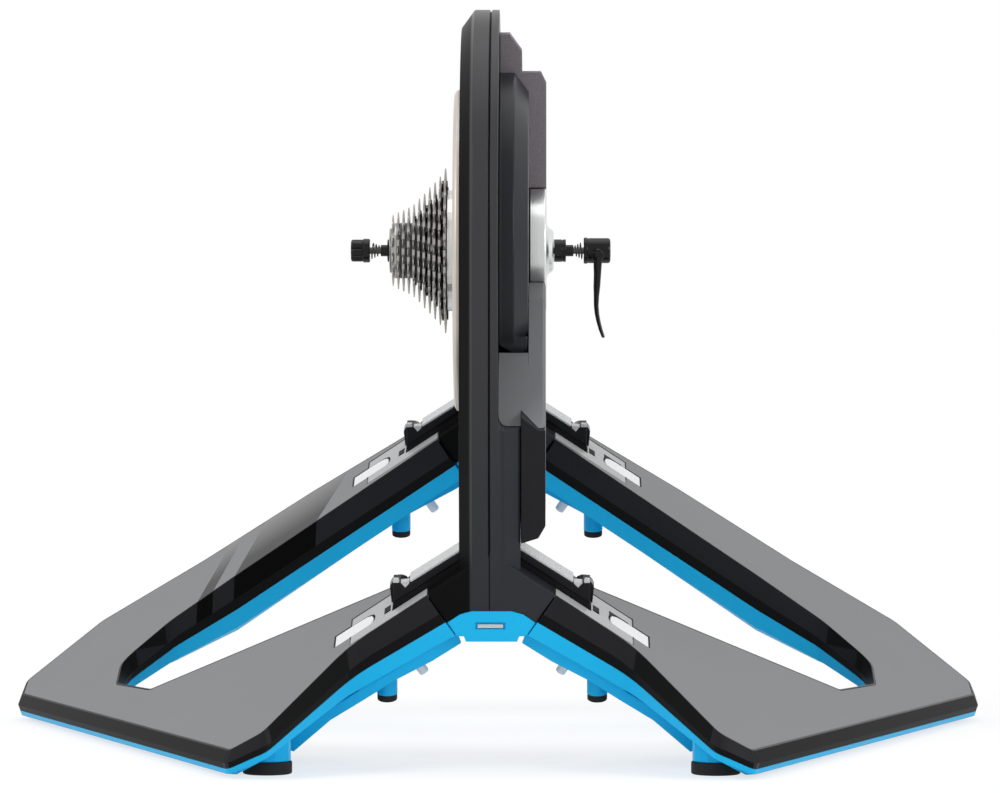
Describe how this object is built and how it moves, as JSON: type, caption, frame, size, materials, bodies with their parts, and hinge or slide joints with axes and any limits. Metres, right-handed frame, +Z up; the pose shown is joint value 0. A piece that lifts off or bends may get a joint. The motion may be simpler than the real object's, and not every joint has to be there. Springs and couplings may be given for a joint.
{
  "type": "direct drive bike trainer",
  "caption": "Upright flywheel trainer with a cassette and through axle that clamps a bike's rear dropouts, standing on fold-up wings with rubber feet.",
  "frame": {"origin": "centre of the footprint, on the floor that the corner feet stand on", "axes": "+Z up, +Y away from the rider's front wheel, +X across the trainer towards the brake side, so the cassette is at -X"},
  "size_m": [0.7572, 0.5686, 0.544],
  "materials": {
    "casing_black": "satin black",
    "textured_charcoal": "fine grained charcoal",
    "panel_grey": "satin grey",
    "band_black": "semi-gloss black",
    "wing_grey": "satin mid grey",
    "blue": "satin light blue paint",
    "plate_grey": "bead blasted",
    "rail_black": "satin black",
    "white": "smooth white",
    "rubber": "matt black",
    "hub_aluminium": "machined",
    "cover_silver": "turned, satin",
    "steel": "machined",
    "sprocket_steel": "nickel plated",
    "black_steel": "gloss black",
    "coil_copper": "enamelled winding"
  },
  "bodies": {
    "body": {"drive_side_shell": "casing_black", "brake_side_shell": "casing_black", "bottom_cover": "blue", "raised_casing": "casing_black", "rear_cover": "textured_charcoal", "recess_panel": "panel_grey", "lower_block": "band_black", "drive_side_disc_cover": "cover_silver", "brake_stator": "coil_copper", "hub_bearing_left": "steel", "hub_bearing_right": "steel", "axle": "black_steel", "brake_side_hub_flange": "hub_aluminium", "brake_side_adapter": "black_steel", "near_right_outrigger": "rail_black", "far_right_outrigger": "rail_black", "near_left_outrigger": "rail_black", "far_left_outrigger": "rail_black", "near_right_storage_foot": "blue", "far_right_storage_foot": "blue", "near_left_storage_foot": "blue", "far_left_storage_foot": "blue"},
    "flywheel": {"flywheel": "steel", "flywheel_hub": "hub_aluminium"},
    "cassette": {"freehub_body": "steel", "sprockets_28_to_23": "sprocket_steel", "sprockets_21_to_15": "sprocket_steel", "sprocket_14": "sprocket_steel", "sprocket_13": "sprocket_steel", "sprocket_12": "sprocket_steel", "sprocket_11": "sprocket_steel", "cassette_lock_ring": "steel"},
    "skewer": {"skewer_rod": "steel", "lever_housing": "black_steel", "skewer_spring_left": "steel", "skewer_spring_right": "steel"},
    "skewer_nut": {"skewer_nut": "black_steel"},
    "skewer_lever": {"skewer_lever": "black_steel"},
    "right_wing": {"right_wing_case": "band_black", "right_wing_skin": "wing_grey", "right_wing_underside": "blue", "near_right_corner_foot": "rubber", "far_right_corner_foot": "rubber", "near_right_lock_plate": "plate_grey", "far_right_lock_plate": "plate_grey", "near_right_hinge_pin": "steel", "far_right_hinge_pin": "steel"},
    "left_wing": {"left_wing_case": "band_black", "left_wing_skin": "wing_grey", "left_wing_underside": "blue", "near_left_corner_foot": "rubber", "far_left_corner_foot": "rubber", "near_left_lock_plate": "plate_grey", "far_left_lock_plate": "plate_grey", "near_left_hinge_pin": "steel", "far_left_hinge_pin": "steel"},
    "near_right_paddle": {"near_right_release_paddle": "white"},
    "far_right_paddle": {"far_right_release_paddle": "white"},
    "near_left_paddle": {"near_left_release_paddle": "white"},
    "far_left_paddle": {"far_left_release_paddle": "white"}
  },
  "joints": [
    {"name": "right_wing_fold", "type": "hinge", "parent": "body", "child": "right_wing", "pos_m": [0.065, -0.0345, 0.17407], "axis": [0, -0.965, -0.2622], "range_deg": [0, 122]},
    {"name": "left_wing_fold", "type": "hinge", "parent": "body", "child": "left_wing", "pos_m": [-0.065, -0.0345, 0.17407], "axis": [0, 0.965, 0.2622], "range_deg": [0, 122]},
    {"name": "flywheel_spin", "type": "hinge", "parent": "body", "child": "flywheel", "pos_m": [0, -0.08746, 0.369], "axis": [1, 0, 0], "continuous": true},
    {"name": "cassette_spin", "type": "hinge", "parent": "body", "child": "cassette", "pos_m": [0, -0.08746, 0.369], "axis": [1, 0, 0], "continuous": true},
    {"name": "skewer_turn", "type": "hinge", "parent": "body", "child": "skewer", "pos_m": [0, -0.08746, 0.369], "axis": [1, 0, 0], "continuous": true},
    {"name": "skewer_nut_turn", "type": "hinge", "parent": "skewer", "child": "skewer_nut", "pos_m": [-0.097, -0.08746, 0.369], "axis": [1, 0, 0], "continuous": true},
    {"name": "skewer_lever_swing", "type": "hinge", "parent": "skewer", "child": "skewer_lever", "pos_m": [0.076, -0.08746, 0.369], "axis": [0, -0.965, -0.2622], "range_deg": [0, 180]},
    {"name": "near_right_paddle_press", "type": "slide", "parent": "right_wing", "child": "near_right_paddle", "axis": [-0.5615, 0.217, -0.7985], "range_m": [0, 0.002], "stiffness_N_per_m": 1500, "springref_m": -0.002},
    {"name": "far_right_paddle_press", "type": "slide", "parent": "right_wing", "child": "far_right_paddle", "axis": [-0.5615, 0.217, -0.7985], "range_m": [0, 0.002], "stiffness_N_per_m": 1500, "springref_m": -0.002},
    {"name": "near_left_paddle_press", "type": "slide", "parent": "left_wing", "child": "near_left_paddle", "axis": [0.5615, 0.217, -0.7985], "range_m": [0, 0.002], "stiffness_N_per_m": 1500, "springref_m": -0.002},
    {"name": "far_left_paddle_press", "type": "slide", "parent": "left_wing", "child": "far_left_paddle", "axis": [0.5615, 0.217, -0.7985], "range_m": [0, 0.002], "stiffness_N_per_m": 1500, "springref_m": -0.002}
  ]
}
